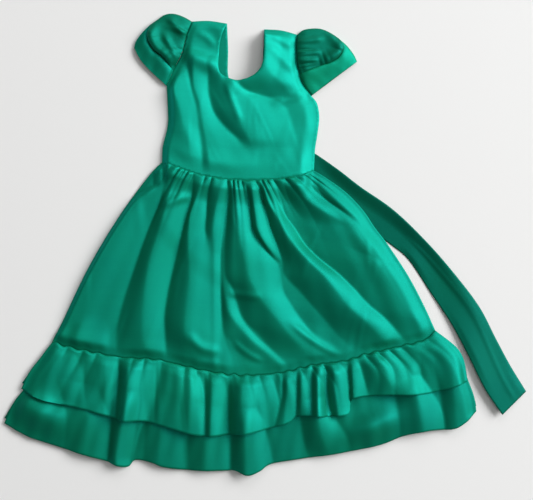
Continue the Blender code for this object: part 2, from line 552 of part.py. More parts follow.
def tube(name, top, bottom, left, right, columns, rows, height):
    """A flattened tube: an upper layer at this height, a flat lower one, and a fold at each side."""
    us, vs = evenly(columns), evenly(rows)
    outer, inner = [], []
    plan = grid(top, bottom, left, right, columns, vs)[0].reshape(rows + 1, columns + 1, 2)
    for row in plan:
        length = np.linalg.norm(np.diff(row, axis=0), axis=1).sum()
        inset = CLOTH / length
        within = curve(row, inset + (1 - 2 * inset) * us)
        up = height(row)
        up_within = height(within) - upright(slope_at(within, height), CLOTH)
        up_within = np.maximum(up_within, CLOTH + SEAM)
        outer.append(np.vstack([np.column_stack([row, up]),
                                np.column_stack([row, 0 * up])[::-1]]))
        inner.append(np.vstack([np.column_stack([within, up_within]),
                                np.column_stack([within, 0 * up + CLOTH])[::-1]]))
    around = 2 * (columns + 1)
    total = (rows + 1) * around
    faces = []
    for k in range(around):
        n = (k + 1) % around
        for row in range(rows):
            a, b = row * around, (row + 1) * around
            faces.append((a + k, b + k, b + n, a + n))
            faces.append((total + a + n, total + b + n, total + b + k, total + a + k))
        last = rows * around
        faces.append((n, total + n, total + k, k))
        faces.append((last + k, total + last + k, total + last + n, last + n))
    return add_object(name, np.vstack(outer + inner), faces)


def build_sleeve(side, armhole, fold, seam, band_fold, cuff, puff_end, table):
    out = -1.0 if side == "left" else 1.0
    armhole = shifted(armhole, x=out * CURVED_GAP)
    fold = [armhole[0], *fold[1:]]
    band_end = puff_end + UNDERARM_LENGTH
    head = part_of(armhole, 0.0, puff_end)
    under = part_of(armhole, puff_end, band_end)
    seam = [*seam, under[-1]]

    def puff_height(xy):
        edges = held_down(xy, (fold, 16), (head, 12), (under, 10))
        return TUBE_EDGE + edges * (5.0 + crests(xy, table))

    tube("sleeve_" + side, head, seam, fold, under, 16, 6, puff_height)

    band_seam = shifted(seam, x=out * CURVED_GAP, y=-CURVED_GAP / 2)
    band_under = part_of(armhole, band_end, 1.0)
    band_under = [band_seam[-1], *shifted(band_under[1:], x=out * SEAM)]
    cuff = [*cuff[:-1], band_under[-1]]
    band_fold = [band_seam[0], *band_fold[1:]]

    def band_height(xy):
        edges = held_down(xy, (band_fold, 16), (band_under, 16))
        from_seam, _, _ = distance_to(xy, band_seam)
        return TUBE_EDGE + edges * (4.5 + 3.5 * np.exp(-((from_seam / 16) ** 2)))

    tube("sleeve_band_" + side, band_seam, cuff, band_fold, band_under, 16, 2, band_height)


def build_sashes():
    plan, faces, _ = grid([SASH_RIGHT_INNER[0], SASH_RIGHT_OUTER[0]],
                          [SASH_RIGHT_INNER[-1], SASH_RIGHT_OUTER[-1]],
                          SASH_RIGHT_INNER, SASH_RIGHT_OUTER, 3, evenly(26))
    panel("sash_right", plan, faces, np.zeros(len(plan)))
    plan, faces, _ = grid([SASH_LEFT_OUTER[0], SASH_LEFT_INNER[0]],
                          [SASH_LEFT_OUTER[-1], SASH_LEFT_INNER[-1]],
                          SASH_LEFT_OUTER, SASH_LEFT_INNER, 3, evenly(22))
    panel("sash_left", plan, faces, np.zeros(len(plan)))


def centre_on_surface():
    """Moves everything so that the origin is under the middle of the whole dress."""
    made = list(bpy.context.scene.collection.objects)
    corners = np.array([tuple(v.co) for o in made for v in o.data.vertices])
    middle = (corners.min(0) + corners.max(0)) / 2
    for o in made:
        o.location = (-middle[0], -middle[1], 0.0)


def main():
    for o in list(bpy.data.objects):
        bpy.data.objects.remove(o)
    build_sashes()
    build_bodice()
    build_skirt()
    build_ruffles()
    build_sleeve("left", ARMHOLE_LEFT, SLEEVE_FOLD_LEFT, BAND_SEAM_LEFT, BAND_FOLD_LEFT,
                 CUFF_LEFT, PUFF_END_LEFT, SLEEVE_CRESTS_LEFT)
    build_sleeve("right", ARMHOLE_RIGHT, SLEEVE_FOLD_RIGHT, BAND_SEAM_RIGHT, BAND_FOLD_RIGHT,
                 CUFF_RIGHT, PUFF_END_RIGHT, SLEEVE_CRESTS_RIGHT)
    centre_on_surface()


main()
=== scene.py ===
"""Looks for a child's taffeta party dress, laid flat and face up, round its frame.

Tables are in millimetres in the garment's own drawing: x to the right as it is seen and y towards
the neck, measured from the middle of the waist. PLACE moves them into the frame, in metres.
Every panel is a thin closed wall of cloth over a height worked out from what lies under it, its
puff, its folds, its gathers and its creases.
"""

import math

import bmesh
import bpy
import numpy as np
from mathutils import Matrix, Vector
from mathutils.geometry import delaunay_2d_cdt


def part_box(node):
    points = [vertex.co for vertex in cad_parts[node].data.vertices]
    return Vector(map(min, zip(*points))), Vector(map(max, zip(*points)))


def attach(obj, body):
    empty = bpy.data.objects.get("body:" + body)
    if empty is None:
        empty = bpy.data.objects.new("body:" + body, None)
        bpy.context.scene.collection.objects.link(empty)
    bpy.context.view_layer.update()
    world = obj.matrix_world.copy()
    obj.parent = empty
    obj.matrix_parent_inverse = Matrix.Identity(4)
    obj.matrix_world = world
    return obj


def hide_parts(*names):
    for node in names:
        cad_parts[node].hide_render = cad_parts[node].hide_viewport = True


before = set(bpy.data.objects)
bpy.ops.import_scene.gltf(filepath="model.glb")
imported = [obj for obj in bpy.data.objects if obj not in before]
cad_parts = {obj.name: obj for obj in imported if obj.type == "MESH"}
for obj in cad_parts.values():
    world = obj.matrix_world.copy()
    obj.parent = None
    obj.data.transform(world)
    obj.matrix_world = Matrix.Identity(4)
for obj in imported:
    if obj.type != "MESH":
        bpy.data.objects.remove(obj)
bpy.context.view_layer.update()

MM = 0.001
CLOTH = 1.5  # the wall that the frame leaves for each layer
SEAM = 0.3
LAYER = CLOTH + SEAM
SKIN = 1.0  # the wall that shows
RIM = 0.32  # how far a wall's rounded edge stands out of its outline
JOIN = 0.12  # gap between the outlines of two sewn pieces
STEEPEST = 1.7  # a steep wall is at most this many times as tall as a level one
SHARP = 75  # degrees between two faces from which an edge is drawn sharp
EDGE_STEP = 3.0  # between the points of a bodice outline
FRONT_PITCH = 3.3  # between the points inside it
BACK_PITCH = 3.6
TUBE_EDGE = 2.0  # radius of the fold at each side of a sleeve
SKIRT_GATHERS = 20
RUFFLE_GATHERS = 24
SEED = 7

# Bodice outline
WAIST = [(-144, 25), (-110, 13), (-63, -2), (4, -10), (70, -8), (114, -2), (144, 8)]
SIDE_LEFT = [(-144, 25), (-142, 55), (-133, 93), (-133, 127), (-135, 169)]
SIDE_RIGHT = [(144, 8), (146, 48), (150, 74), (154, 108), (150, 135), (139, 150)]
ARMHOLE_LEFT = [(-87, 291), (-97, 264), (-106, 230), (-120, 203), (-135, 169)]
ARMHOLE_RIGHT = [(112, 266), (112, 230), (116, 196), (125, 169), (139, 150)]
SHOULDER_LEFT = [(-87, 291), (-55, 292), (-21, 287)]
SHOULDER_RIGHT = [(50, 276), (82, 274), (112, 266)]
NECK_FRONT = [(-21, 287), (-32, 260), (-36, 234), (-36, 198), (-24, 185), (-4, 178),
              (14, 180), (30, 187), (41, 197), (47, 211), (50, 232), (50, 276)]
NECK_BACK_LEFT = [(-21, 287), (-19, 238), (-19, 190), (-8, 168), (16, 160)]
NECK_BACK_RIGHT = [(16, 160), (37, 168), (46, 196), (48, 238), (50, 276)]
CENTRE_BACK = [(16, 160), (8, 60), (4, -10)]

# Sleeves and their bands
SLEEVE_FOLD_LEFT = [(-87, 291), (-103, 300), (-122, 306), (-139, 304), (-154, 294), (-167, 285)]
SLEEVE_FOLD_RIGHT = [(112, 266), (124, 275), (141, 278), (158, 277), (175, 270), (190, 260)]
BAND_SEAM_LEFT = [(-167, 285), (-171, 260), (-160, 238), (-141, 222)]
BAND_SEAM_RIGHT = [(190, 260), (200, 241), (192, 224), (177, 213), (148, 203)]
BAND_FOLD_LEFT = [(-167, 285), (-182, 270), (-194, 253), (-197, 241)]
BAND_FOLD_RIGHT = [(190, 260), (207, 245), (220, 228), (226, 215)]
CUFF_LEFT = [(-197, 241), (-184, 217), (-163, 194), (-136, 168)]
CUFF_RIGHT = [(226, 215), (203, 198), (171, 175), (140, 149)]

# Shares of an armhole's length: where the sleeve's head ends, and what its underside takes
PUFF_END_LEFT = 0.70
PUFF_END_RIGHT = 0.56
UNDERARM_LENGTH = 0.06

# Skirt and ruffles
SKIRT_LEFT = [(-144, 25), (-167, 0), (-209, -55), (-241, -103), (-268, -148), (-293, -194),
              (-314, -238), (-334, -281), (-353, -317)]
SKIRT_RIGHT = [(144, 8), (167, -6), (203, -32), (236, -66), (260, -101), (283, -131),
               (323, -192), (355, -253), (374, -296)]
RUFFLE_SEAM = [(-353, -317), (-310, -329), (-276, -336), (-222, -346), (-158, -350), (-108, -361),
               (-59, -372), (4, -380), (76, -376), (142, -361), (203, -353), (236, -342),
               (279, -332), (317, -323), (352, -314), (374, -296)]
UPPER_LEFT = [(-353, -317), (-372, -344), (-395, -374), (-410, -405)]
UPPER_RIGHT = [(374, -296), (399, -314), (418, -332), (429, -355), (435, -391)]
UPPER_HEM = [(-410, -405), (-386, -418), (-353, -429), (-289, -443), (-222, -462), (-175, -466),
             (-125, -479), (-76, -492), (-27, -492), (38, -484), (95, -469), (114, -456),
             (162, -456), (196, -455), (210, -450), (214, -428), (224, -421), (279, -416),
             (352, -414), (393, -405), (435, -391)]
LOWER_LEFT = [(-350, -317), (-370, -353), (-400, -399), (-426, -433), (-443, -471)]
LOWER_RIGHT = [(371, -296), (398, -321), (421, -353), (437, -391), (448, -422), (452, -448)]
LOWER_HEM = [(-443, -471), (-397, -496), (-352, -511), (-304, -526), (-249, -542), (-224, -551),
             (-207, -552), (-194, -540), (-163, -545), (-141, -553), (-95, -559), (-27, -560),
             (-4, -560), (19, -568), (42, -560), (65, -547), (133, -536), (198, -526),
             (270, -511), (315, -494), (361, -484), (407, -481), (433, -467), (452, -448)]
BACK_HEM_RISE = 10.0

# Sash ties
SASH_RIGHT_OUTER = [(140, 42), (150, 38), (192, 8), (232, -23), (296, -68), (359, -129),
                    (412, -190), (458, -251), (490, -312), (517, -362), (547, -411)]
SASH_RIGHT_INNER = [(140, 12), (158, -22), (188, -52), (222, -80), (255, -107), (294, -135),
                    (325, -162), (365, -222), (405, -283), (437, -344), (467, -405), (500, -454)]
SASH_RIGHT_MIDDLE = [(140, 28), (176, -6), (214, -38), (256, -74), (295, -104)]
SASH_LEFT_OUTER = [(-137, 15), (-136, -20), (-113, -80), (-63, -135), (0, -178), (75, -212),
                   (160, -238), (300, -262)]
SASH_LEFT_INNER = [(-137, 50), (-85, -2), (-62, -50), (-24, -90), (28, -125), (92, -155),
                   (170, -179), (306, -202)]
SASH_LEFT_MIDDLE = [(-137, 34), (-112, -8), (-88, -65), (-43, -112), (14, -152), (84, -184),
                    (165, -208), (303, -232)]
SASH_WIDTH = 60.0
SASH_CLEARANCE = 20.0  # how far past a tie's edge the dress stays lifted
SASH_SLOPE = 34.0  # over which it then comes down
OUTER_LEAN = 7.0  # how far the right tie's outer edge is lifted
INNER_LEAN = 11.0

# How the front stands off the back
PUFF = 4.0  # where it has no fold
WAIST_LIFT = 8.0  # how much further the gathers hold it up at the waist
NECK_RISE = 10.0  # how much further the free neck edge stands up
NECK_REACH = 34.0

# Folds: a row for each station down a fold, in millimetres. FOLD_COLUMNS names the columns: how far
# down the station is, where the fold starts, crests and ends from left to right, and its height.
FOLD_COLUMNS = ("down", "start", "crest", "end", "height")
BODICE_FOLDS = [
    [(-205, -112, -96, -70, 0), (-169, -133, -122, -66, 10), (-131, -134, -112, -56, 11),
     (-93, -136, -102, -48, 11), (-55, -142, -90, -42, 10), (-10, -116, -84, -38, 3)],
    [(-235, -95, -78, -46, 0), (-205, -95, -84, -48, 7), (-169, -91, -84, -54, 7),
     (-131, -84, -72, -46, 7), (-93, -80, -66, -16, 8), (-55, -76, -58, 60, 10),
     (-30, -72, -54, 80, 10), (-5, -70, -52, 90, 8)],
    [(-228, -68, -44, -34, 0), (-209, -64, -40, -24, 6), (-190, -58, -34, -14, 10),
     (-161, -57, -19, 20, 12), (-142, -54, -14, 70, 13), (-123, -50, -9, 96, 14),
     (-104, -38, 1, 104, 14), (-85, -23, 12, 112, 13), (-66, -6, 22, 118, 11),
     (-50, -10, 28, 122, 7), (-30, -20, 34, 124, 5), (-5, -30, 34, 124, 3)],
    [(-250, 38, 48, 108, 9), (-215, 30, 50, 112, 12), (-192, -8, 60, 116, 13),
     (-174, -12, 80, 120, 12), (-158, -10, 92, 122, 6), (-146, 0, 98, 122, 0)],
    [(-160, 90, 126, 158, 1), (-120, 90, 128, 162, 1.5), (-60, 88, 128, 160, 1.5),
     (-5, 90, 124, 152, 1)],
]
SKIRT_FOLDS = [
    [(20, -160, -146, -124, 5), (48, -214, -190, -142, 10), (82, -254, -222, -154, 13),
     (133, -300, -260, -172, 14), (184, -334, -290, -190, 13), (234, -360, -312, -212, 11),
     (290, -382, -334, -230, 7)],
    [(225, -300, -268, -236, 0), (262, -316, -284, -236, 4), (290, -326, -298, -240, 9),
     (320, -336, -304, -240, 10), (345, -345, -300, -245, 3)],
    [(10, -150, -118, -84, 5), (48, -148, -132, -89, 12), (105, -172, -148, -102, 14),
     (171, -196, -168, -120, 15), (247, -220, -178, -134, 14), (304, -230, -180, -136, 12),
     (350, -226, -166, -136, 5)],
    [(10, -84, -66, -52, 4), (48, -88, -80, -60, 8), (76, -96, -90, -56, 9),
     (105, -105, -93, -48, 10), (133, -112, -93, -30, 13), (190, -126, -91, -34, 16),
     (257, -140, -98, -31, 17), (304, -138, -98, -26, 17), (350, -134, -76, -10, 6)],
    [(19, -58, -30, -15, 5), (48, -57, -38, -17, 9), (76, -60, -44, -23, 10),
     (105, -66, -47, -25, 10), (150, -70, -46, -30, 6)],
    [(10, -15, -3, 14, 6), (48, -17, -4, 22, 11), (105, -25, 2, 30, 13), (133, -29, 6, 50, 14),
     (162, -30, 14, 74, 15), (190, -28, 20, 82, 15), (219, -10, 34, 86, 15), (247, 0, 52, 102, 15),
     (276, 12, 76, 122, 14), (304, 40, 98, 144, 12), (350, 76, 140, 190, 2)],
    [(14, 14, 26, 40, 6), (48, 22, 29, 48, 9), (76, 24, 33, 56, 10), (105, 29, 38, 64, 11),
     (133, 46, 53, 75, 9), (165, 70, 77, 85, 0)],
    [(10, 40, 48, 66, 6), (48, 48, 56, 82, 10), (76, 55, 72, 90, 13), (105, 63, 87, 110, 16),
     (133, 74, 106, 128, 17), (162, 84, 132, 158, 18), (190, 89, 160, 194, 18),
     (219, 116, 184, 224, 17), (247, 140, 206, 250, 16), (276, 166, 239, 284, 14),
     (304, 190, 266, 310, 10), (330, 216, 288, 328, 2)],
    [(8, 84, 106, 128, 7), (32, 92, 118, 148, 10), (48, 98, 130, 168, 11), (70, 108, 162, 210, 11),
     (92, 120, 200, 250, 8), (112, 140, 224, 268, 0)],
    [(25, 150, 166, 206, 5), (48, 168, 190, 226, 8), (76, 200, 218, 254, 9),
     (105, 226, 240, 270, 5), (130, 244, 254, 280, 0)],
    [(50, 92, 170, 236, 0), (76, 98, 196, 256, 5), (105, 110, 218, 280, 11),
     (133, 126, 238, 306, 13), (162, 156, 258, 322, 12), (190, 190, 278, 342, 11),
     (219, 220, 296, 358, 9), (247, 248, 314, 372, 8), (276, 282, 336, 388, 8),
     (310, 308, 352, 392, 3)],
    [(200, -36, -28, -8, 2), (238, -32, -22, -2, 5), (266, -30, -14, 6, 6), (304, -24, 16, 32, 6),
     (333, 8, 48, 66, 5), (360, 44, 80, 96, 3)],
]
# The ruffles' folds are placed by how far down they are from the ruffles' own seam
LOWER_RUFFLE_FOLDS = [
    [(60, -345, -300, -265, 2), (120, -325, -284, -240, 10), (190, -330, -290, -240, 9)],
    [(60, -235, -204, -186, 4), (100, -240, -214, -188, 13), (190, -246, -230, -204, 14)],
    [(60, -178, -152, -110, 3), (110, -174, -146, -104, 6), (190, -180, -150, -100, 7)],
    [(60, -100, -62, -24, 4), (110, -96, -61, -18, 9), (190, -96, -62, -14, 9)],
    [(60, -14, 14, 36, 5), (100, -14, 14, 52, 13), (190, -14, 14, 72, 14)],
    [(70, 50, 90, 122, 1), (130, 64, 84, 118, 2), (190, 68, 90, 130, 2)],
    [(60, 112, 150, 162, 4), (92, 118, 150, 176, 13), (140, 126, 160, 206, 12),
     (185, 140, 180, 216, 3)],
    [(60, 290, 330, 346, 4), (90, 298, 336, 364, 12), (145, 306, 346, 392, 13),
     (190, 308, 356, 398, 10)],
    [(60, 372, 404, 440, 3), (110, 384, 408, 446, 9), (190, 392, 416, 456, 9)],
]
# Places where the long ruffle swells out from under the short one's hem
PUFF_COLUMNS = ("across", "reach", "down", "rise", "fall", "height")
LOWER_RUFFLE_PUFFS = [
    (-372, 50, 132, 24, 34, 19),
    (252, 54, 130, 24, 32, 20),
]
UPPER_RUFFLE_FOLDS = [
    [(0, -356, -335, -310, 3), (45, -385, -352, -292, 7), (100, -408, -366, -292, 7)],
    [(0, -290, -250, -226, 5), (50, -291, -250, -225, 9), (120, -286, -252, -230, 8)],
    [(0, -224, -204, -154, 11), (50, -226, -207, -154, 17), (120, -230, -212, -158, 16)],
    [(0, -154, -92, -74, 8), (50, -156, -90, -64, 16), (120, -156, -96, -64, 14)],
    [(0, -64, -50, -24, 5), (50, -61, -50, -20, 9), (120, -60, -52, -18, 9)],
    [(0, -16, 8, 62, 12), (50, -18, 8, 78, 17), (120, -18, 12, 66, 14)],
    [(0, 66, 78, 86, 5), (60, 80, 84, 90, 0)],
    [(0, 84, 94, 112, 6), (50, 82, 92, 114, 7), (110, 66, 84, 108, 6)],
    [(0, 112, 120, 139, 6), (50, 112, 119, 139, 7), (100, 108, 118, 140, 6)],
    [(0, 141, 150, 166, 9), (50, 141, 150, 168, 11), (100, 141, 151, 170, 10)],
    [(0, 167, 180, 208, 10), (50, 170, 183, 211, 13), (100, 178, 190, 216, 12)],
    [(0, 209, 215, 228, 5), (50, 211, 217, 242, 8), (100, 214, 219, 250, 7)],
    [(0, 226, 250, 284, 7), (35, 236, 270, 316, 12), (80, 250, 298, 342, 12),
     (110, 262, 306, 350, 10)],
    [(0, 320, 352, 384, 3), (50, 346, 414, 436, 8), (100, 352, 422, 450, 7)],
]
# Short folds that cross the others: the crest, how far it spreads, and its height
CREST_COLUMNS = ("crest", "spread", "height")
BODICE_CRESTS = [
    ([(58, 130), (104, 147), (146, 160)], 9, 3.5),
    ([(56, 250), (80, 222), (110, 192)], 11, 4.0),
    ([(60, 262), (88, 250), (108, 242)], 8, 3.0),
    ([(-84, 270), (-62, 262), (-40, 240)], 7, 2.5),
    ([(-108, 236), (-72, 218), (-34, 200)], 14, 9.0),
    ([(-50, 300), (-28, 270), (-24, 232)], 15, 4.0),
    ([(-24, 176), (-8, 134), (8, 92)], 6, 2.5),
]
SKIRT_CRESTS = [
    ([(-26, -222), (14, -228), (50, -230)], 7, 3.0),
    ([(-98, -294), (-70, -326), (-26, -336)], 9, 4.0),
    ([(88, -270), (140, -312), (204, -350)], 7, 4.0),
    ([(-148, -62), (-112, -46), (-80, -38)], 8, 3.5),
    ([(-14, -312), (20, -340), (52, -356)], 6, 3.0),
]
SLEEVE_CRESTS_LEFT = [
    ([(-136, 302), (-112, 276), (-92, 254)], 7, 5.0),
    ([(-144, 272), (-127, 242), (-108, 210)], 7, 5.0),
    ([(-150, 302), (-166, 268), (-154, 238), (-112, 206)], 13, 9.0),
]
SLEEVE_CRESTS_RIGHT = [
    ([(100, 252), (134, 254), (168, 258)], 6, 4.0),
    ([(100, 229), (132, 229), (164, 232)], 5, 4.0),
    ([(100, 217), (130, 216), (158, 218)], 5, 3.5),
    ([(162, 284), (190, 256), (192, 230), (150, 206)], 13, 9.0),
]
CREST_ENDS = 0.3  # the share of a crossing fold's length over which it rises or dies away
CREST_POWER = 1.5  # 1 would give a fold a straight flank and a sharp crest, 2 gives a round one
ROUNDING = 1.15  # how softly a fold's flank runs into a valley

# Colours and finish
GREEN = (0.002, 0.142, 0.020)
GREEN_DEEP = (0.001, 0.100, 0.010)
SHINE = (0.015, 0.76, 0.77, 1.0)
LOWER_RUFFLE_TONE = 0.82  # the long ruffle is darker and duller than the skirt
FLOOR_WHITE = (0.85, 0.85, 0.855, 1.0)

# Where the middle of the drawing lies in the frame, from the right tie's tip
SASH_LOW, SASH_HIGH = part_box("sash_right")
PLACE = np.array([SASH_RIGHT_OUTER[-1][0] - SASH_HIGH.x / MM,
                  SASH_RIGHT_INNER[-1][1] - SASH_LOW.y / MM])

# The floor and the camera, in metres
FLOOR_HALF = 4.0
FLOOR_DROP = 0.0004  # keeps the floor clear of the lowest cloth
CAMERA_HEIGHT = 2.2
SENSOR_WIDTH = 36.0  # this one in millimetres
PHOTO_WIDTH = 1.0127  # of the floor that the photo shows
PHOTO_MIDDLE = (np.array([54.15, -142.5]) - PLACE) * MM


def smooth_step(value):
    t = np.clip(value, 0.0, 1.0)
    return t * t * (3.0 - 2.0 * t)


def dome(value):
    """0 to 1 as a quarter circle rises: steep at the edge and level at the top."""
    return np.sqrt(1.0 - (1.0 - np.clip(value, 0.0, 1.0)) ** 2)


def evenly(count):
    return np.linspace(0.0, 1.0, count + 1)


def curve(points, shares):
    """Points of a smooth curve through the given ones, at these shares of its length."""
    given = np.array(points, float)
    ends = np.vstack([2 * given[0] - given[1], given, 2 * given[-1] - given[-2]])
    t = np.linspace(0.0, 1.0, 17)[:-1, None]
    dense = []
    for a, b, c, d in zip(ends[:-3], ends[1:-2], ends[2:-1], ends[3:]):
        dense.append(0.5 * (2 * b + (c - a) * t + (2 * a - 5 * b + 4 * c - d) * t**2
                            + (3 * b - a - 3 * c + d) * t**3))
    dense = np.vstack([*dense, given[-1:]])
    steps = np.linalg.norm(np.diff(dense, axis=0), axis=1)
    length = np.concatenate([[0.0], np.cumsum(steps)])
    wanted = np.asarray(shares, float) * length[-1]
    return np.column_stack([np.interp(wanted, length, dense[:, i]) for i in (0, 1)])


def length_of(points):
    return np.linalg.norm(np.diff(curve(points, evenly(60)), axis=0), axis=1).sum()


def part_of(points, first, last):
    return [tuple(p) for p in curve(points, np.linspace(first, last, 9))]


def stepped(points):
    """Points along a curve about EDGE_STEP apart."""
    return curve(points, evenly(max(3, round(length_of(points) / EDGE_STEP))))


def shifted(points, x=0.0, y=0.0):
    return [(px + x, py + y) for px, py in points]


def distance_to(xy, points, samples=60):
    """How far each place is from a curve, and at which share of its length that is."""
    line = curve(points, evenly(samples))
    tangent = np.gradient(line, axis=0)
    tangent /= np.linalg.norm(tangent, axis=1)[:, None] + 1e-9
    total = np.linalg.norm(np.diff(line, axis=0), axis=1).sum()
    near = np.empty(len(xy), int)
    for first in range(0, len(xy), 8192):
        block = xy[first:first + 8192]
        gap = block[:, None, :] - line[None, :, :]
        near[first:first + 8192] = (gap**2).sum(-1).argmin(1)
    d = xy - line[near]
    t = tangent[near]
    along = np.clip((d * t).sum(1), -total / samples * 0.5, total / samples * 0.5)
    along = np.where((near == 0) & (along < 0) | (near == samples) & (along > 0), 0.0, along)
    d = d - along[:, None] * t
    return np.hypot(d[:, 0], d[:, 1]), near / samples + along / total


def smooth_row(places, values, wanted):
    """A column of a table between its rows, as a smooth line through them."""
    line = curve(list(zip(places, values)), evenly(80))
    return np.interp(wanted, line[:, 0], line[:, 1])


def folds(x, down, table):
    """The height that a table of folds adds: rounded crests, with a sharp valley between two."""
    total = np.zeros(len(x))
    for rows in table:
        stations = dict(zip(FOLD_COLUMNS, zip(*rows)))
        start, crest, end, height = (smooth_row(stations["down"], stations[name], down)
                                     for name in FOLD_COLUMNS[1:])
        share = (x - crest) / np.where(x < crest, crest - start, end - crest)
        round_top = np.clip(1.0 - abs(share) ** CREST_POWER, 0.0, 1.0) ** ROUNDING
        total += (np.maximum(height, 0.0) * round_top) ** 4
    return total ** 0.25


def crests(xy, table):
    """The height that a table of short crossing folds adds."""
    total = np.zeros(len(xy))
    for row in table:
        crest = dict(zip(CREST_COLUMNS, row))
        far, along = distance_to(xy, crest["crest"])
        ends = smooth_step(along / CREST_ENDS) * smooth_step((1.0 - along) / CREST_ENDS)
        total += crest["height"] * np.exp(-((far / crest["spread"]) ** 2)) * ends
    return total


def puffs(x, down, table):
    """The height that a table of swellings adds."""
    total = np.zeros(len(x))
    for row in table:
        puff = dict(zip(PUFF_COLUMNS, row))
        past = down - puff["down"]
        reach = np.where(past < 0, puff["rise"], puff["fall"])
        total += puff["height"] * np.exp(-((x - puff["across"]) / puff["reach"]) ** 2
                                         - (past / reach) ** 2)
    return total


def held_down(xy, *edges):
    """0 on each of these edges and 1 past the distance given with it."""
    mask = np.ones(len(xy))
    for points, reach in edges:
        mask *= smooth_step(distance_to(xy, points)[0] / reach)
    return mask


def swells(a, b, seed, count, low, high, lean=1.0):
    """Smooth seeded ripples over two coordinates, about -1 to 1."""
    rng = np.random.default_rng(SEED + seed)
    total = np.zeros(len(a))
    for _ in range(count):
        across = rng.uniform(low, high)
        down = rng.uniform(-lean, lean)
        total += np.sin(2 * math.pi * (across * a + down * b + rng.random()))
    return total / math.sqrt(count)


def creases(xy, seed, count, box, angle, spread, length, width, height):
    """Short seeded creases, roughly along one direction."""
    rng = np.random.default_rng(SEED + seed)
    total = np.zeros(len(xy))
    (x0, y0), (x1, y1) = box
    for _ in range(count):
        centre = np.array([rng.uniform(x0, x1), rng.uniform(y0, y1)])
        turn = math.radians(angle + rng.uniform(-spread, spread))
        way = np.array([math.cos(turn), math.sin(turn)])
        reach = rng.uniform(0.6, 1.4) * length
        thick = rng.uniform(0.7, 1.4) * width
        d = xy - centre
        s = d @ way
        t = d @ np.array([-way[1], way[0]]) + 0.0012 * rng.uniform(-1, 1) * s**2
        shape = np.exp(-((t / thick) ** 2)) - 0.45 * np.exp(-(((t - 1.5 * thick) / thick) ** 2))
        total += rng.uniform(0.4, 1.0) * height * shape * np.exp(-((s / reach) ** 2))
    return total


def raised_by_sashes(xy):
    """How high the surface under the dress is, where a sash tie lies there."""
    height = np.zeros(len(xy))
    for middle in (SASH_RIGHT_MIDDLE, SASH_LEFT_MIDDLE):
        past = distance_to(xy, middle)[0] - SASH_WIDTH / 2 - SASH_CLEARANCE
        height = np.maximum(height, LAYER * (1.0 - smooth_step(past / SASH_SLOPE)))
    return height


def grid(top, bottom, left, right, columns, rows):
    """A panel's plan between four edges: its points, its faces, and each point's shares."""
    us = evenly(columns)
    vs = np.asarray(rows, float)
    high, low = curve(top, us), curve(bottom, us)
    left_edge = curve([high[0], *left[1:-1], low[0]], vs)
    right_edge = curve([high[-1], *right[1:-1], low[-1]], vs)
    u, v = us[None, :, None], vs[:, None, None]
    # A blend of both pairs of edges, less the corners, which it would count twice
    plan = ((1 - v) * high + v * low + (1 - u) * left_edge[:, None] + u * right_edge[:, None]
            - (1 - u) * (1 - v) * high[0] - u * (1 - v) * high[-1]
            - (1 - u) * v * low[0] - u * v * low[-1])
    faces = []
    wide = columns + 1
    for row in range(len(vs) - 1):
        for column in range(columns):
            first = row * wide + column
            faces.append((first, first + wide, first + wide + 1, first + 1))
    return plan.reshape(-1, 2), faces, np.tile(us, len(vs)), np.repeat(vs, wide)


def filled(outline, pitch):
    """A panel's plan inside a closed outline: its points and its triangles."""
    low, high = outline.min(0), outline.max(0)
    xs = np.arange(low[0] + pitch / 2, high[0], pitch)
    ys = np.arange(low[1] + pitch / 2, high[1], pitch)
    inner = np.array([(x + (i % 2) * pitch / 2, y) for i, y in enumerate(ys) for x in xs])
    keep = []
    for first in range(0, len(inner), 4096):
        block = inner[first:first + 4096]
        keep.append(np.linalg.norm(block[:, None] - outline[None], axis=2).min(1))
    inner = inner[np.concatenate(keep) > pitch * 0.6]
    points = [Vector(p) for p in np.vstack([outline, inner])]
    made = delaunay_2d_cdt(points, [], [list(range(len(outline)))], 1, 1e-4)
    return np.array([tuple(p) for p in made[0]]), [tuple(f) for f in made[2]]


def puckered(plan):
    """A plan whose points near the gathered seams are drawn up and let down a little, in turn."""
    moved = plan.copy()
    for seam, seed, size, spacing in ((WAIST, 61, 0.7, 22.0), (RUFFLE_SEAM, 62, 1.3, 26.0)):
        far, along = distance_to(plan, seam, 240)
        waves = swells(along * length_of(seam) / spacing, 0.0 * along, seed, 6, 0.4, 1.3, 0.0)
        moved[:, 1] += size * waves * np.exp(-((far / 14) ** 2))
    return moved


def joined(*stretches):
    return np.vstack([stretch[:-1] for stretch in stretches])


def slope_of(plan, faces, height):
    """How steep a height is at each point of a plan, from the faces round it."""
    sums = np.zeros((len(plan), 3))
    points = np.column_stack([plan, height])
    for corners in {len(f) for f in faces}:
        rows = np.array([f for f in faces if len(f) == corners])
        if corners == 4:
            way = np.cross(points[rows[:, 2]] - points[rows[:, 0]],
                           points[rows[:, 3]] - points[rows[:, 1]])
        else:
            way = np.cross(points[rows[:, 1]] - points[rows[:, 0]],
                           points[rows[:, 2]] - points[rows[:, 0]])
        for corner in range(corners):
            np.add.at(sums, rows[:, corner], way)
    up = np.maximum(np.abs(sums[:, 2]), 1e-6)
    return np.hypot(sums[:, 0], sums[:, 1]) / up


def to_frame(points):
    """Points of the drawing, in millimetres, as places in the frame, in metres."""
    moved = np.array(points, float)
    moved[:, :2] -= PLACE
    return moved * MM


